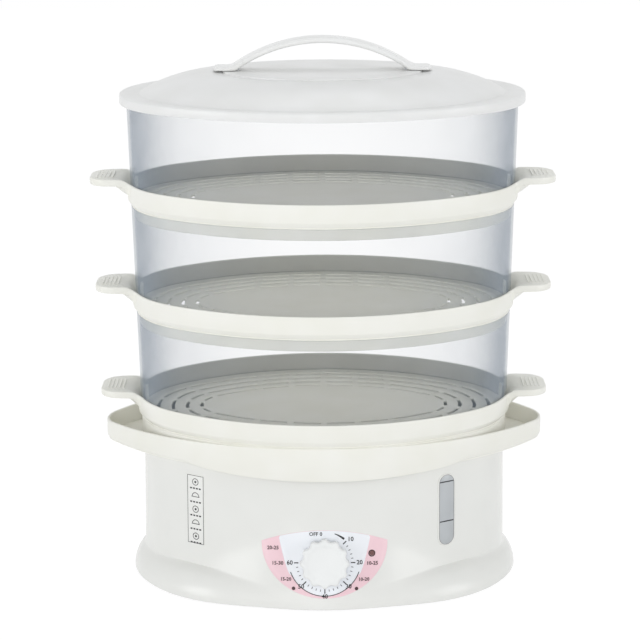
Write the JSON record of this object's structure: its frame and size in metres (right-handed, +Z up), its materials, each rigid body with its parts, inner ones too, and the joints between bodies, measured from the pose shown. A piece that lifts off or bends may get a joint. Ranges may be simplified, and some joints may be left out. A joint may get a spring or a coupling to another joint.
{
  "type": "electric food steamer",
  "caption": "Oval electric food steamer: heated base with timer dial, water gauge and drip tray, clear stacked bowls on slotted trays with ears, and a domed lid with arched handle.",
  "frame": {"origin": "middle of the footprint at the table, under the feet", "axes": "+Z up; -Y is the front with the dial; +X to the right seen from the front"},
  "size_m": [0.3444, 0.2169, 0.4078],
  "materials": {
    "ivory_gloss": "smooth moulded polypropylene, off-white",
    "cream_matte": "moulded polypropylene, cream white",
    "clear_plastic": "clear polycarbonate",
    "base_gloss": "glossy moulded plastic, white",
    "inner_plastic": "moulded polypropylene, light grey",
    "zinc_steel": "zinc plated steel",
    "grey_rubber": "soft grey rubber",
    "cast_heater": "die cast aluminium",
    "heater_tube": "annealed steel sheath",
    "silicone": "red silicone rubber",
    "pressed_steel": "pressed steel sheet",
    "phenolic": "brown phenolic moulding",
    "ceramic": "glazed ceramic sleeve",
    "gauge_clear": "clear styrene, slightly smoked",
    "fascia_print": "printed polycarbonate film, white and pink",
    "knob_white": "glossy moulded plastic, white",
    "brass": "turned and stamped brass",
    "nylon": "natural nylon",
    "bell_steel": "nickel plated pressed steel",
    "lens_amber": "amber styrene",
    "lamp_glass": "glass neon lamp",
    "label_print": "printed label film",
    "gland_grey": "grey nylon",
    "wire_red": "silicone covered wire, dark red"
  },
  "bodies": {
    "base": {"base_housing": "base_gloss", "base_cover": "inner_plastic", "cover_screws": "zinc_steel", "rubber_feet": "grey_rubber", "water_tank": "inner_plastic", "heater_plate": "cast_heater", "heater_element": "heater_tube", "heater_gasket": "silicone", "heater_clamp": "pressed_steel", "clamp_screws": "zinc_steel", "thermostat": "phenolic", "thermal_fuse": "ceramic", "gauge_window": "gauge_clear", "gauge_gasket": "grey_rubber", "dial_plate": "fascia_print", "timer_case": "nylon", "timer_cap": "nylon", "timer_bell": "bell_steel", "timer_screws": "zinc_steel", "lamp_lens": "lens_amber", "pilot_lamp": "lamp_glass", "time_plate": "label_print", "cord_gland": "gland_grey", "cord_clamp": "inner_plastic", "clamp_bolts": "zinc_steel", "terminal_block": "nylon", "lead_wires": "wire_red"},
    "timer_dial": {"timer_knob": "knob_white", "timer_shaft": "brass", "main_wheel": "brass"},
    "escape": {"escape_arbor": "brass"},
    "steam_sleeve": {"steam_sleeve": "inner_plastic"},
    "lid": {"lid_shell": "ivory_gloss", "lid_handle": "ivory_gloss", "handle_screws": "zinc_steel"},
    "drip_tray": {"drip_tray": "cream_matte"},
    "bottom_tray": {"bottom_tray": "cream_matte"},
    "bottom_bowl": {"bottom_bowl": "clear_plastic"},
    "middle_tray": {"middle_tray": "cream_matte"},
    "middle_bowl": {"middle_bowl": "clear_plastic"},
    "top_tray": {"top_tray": "cream_matte"},
    "top_bowl": {"top_bowl": "clear_plastic"}
  },
  "joints": [
    {"name": "drip_tray_lift", "type": "slide", "parent": "base", "child": "drip_tray", "axis": [0, 0, 1], "range_m": [0, 0.06]},
    {"name": "bottom_tray_lift", "type": "slide", "parent": "drip_tray", "child": "bottom_tray", "axis": [0, 0, 1], "range_m": [0, 0.06]},
    {"name": "bottom_bowl_lift", "type": "slide", "parent": "bottom_tray", "child": "bottom_bowl", "axis": [0, 0, 1], "range_m": [0, 0.06]},
    {"name": "middle_tray_lift", "type": "slide", "parent": "bottom_bowl", "child": "middle_tray", "axis": [0, 0, 1], "range_m": [0, 0.06]},
    {"name": "middle_bowl_lift", "type": "slide", "parent": "middle_tray", "child": "middle_bowl", "axis": [0, 0, 1], "range_m": [0, 0.06]},
    {"name": "top_tray_lift", "type": "slide", "parent": "middle_bowl", "child": "top_tray", "axis": [0, 0, 1], "range_m": [0, 0.06]},
    {"name": "top_bowl_lift", "type": "slide", "parent": "top_tray", "child": "top_bowl", "axis": [0, 0, 1], "range_m": [0, 0.06]},
    {"name": "lid_lift", "type": "slide", "parent": "top_bowl", "child": "lid", "axis": [0, 0, 1], "range_m": [0, 0.1]},
    {"name": "sleeve_lift", "type": "slide", "parent": "base", "child": "steam_sleeve", "axis": [0, 0, 1], "range_m": [0, 0.012]},
    {"name": "timer_turn", "type": "hinge", "parent": "base", "child": "timer_dial", "pos_m": [0, -0.0957, 0.035], "axis": [0, 0.963, -0.2696], "range_deg": [0, 270]},
    {"name": "escape_spin", "type": "hinge", "parent": "base", "child": "escape", "pos_m": [0, -0.09974, 0.02056], "axis": [0, 0.963, -0.2696], "range_deg": [-1080, 0]}
  ],
  "couplings": [
    {"joint": "escape_spin", "follows": "timer_turn", "ratio": -4}
  ]
}
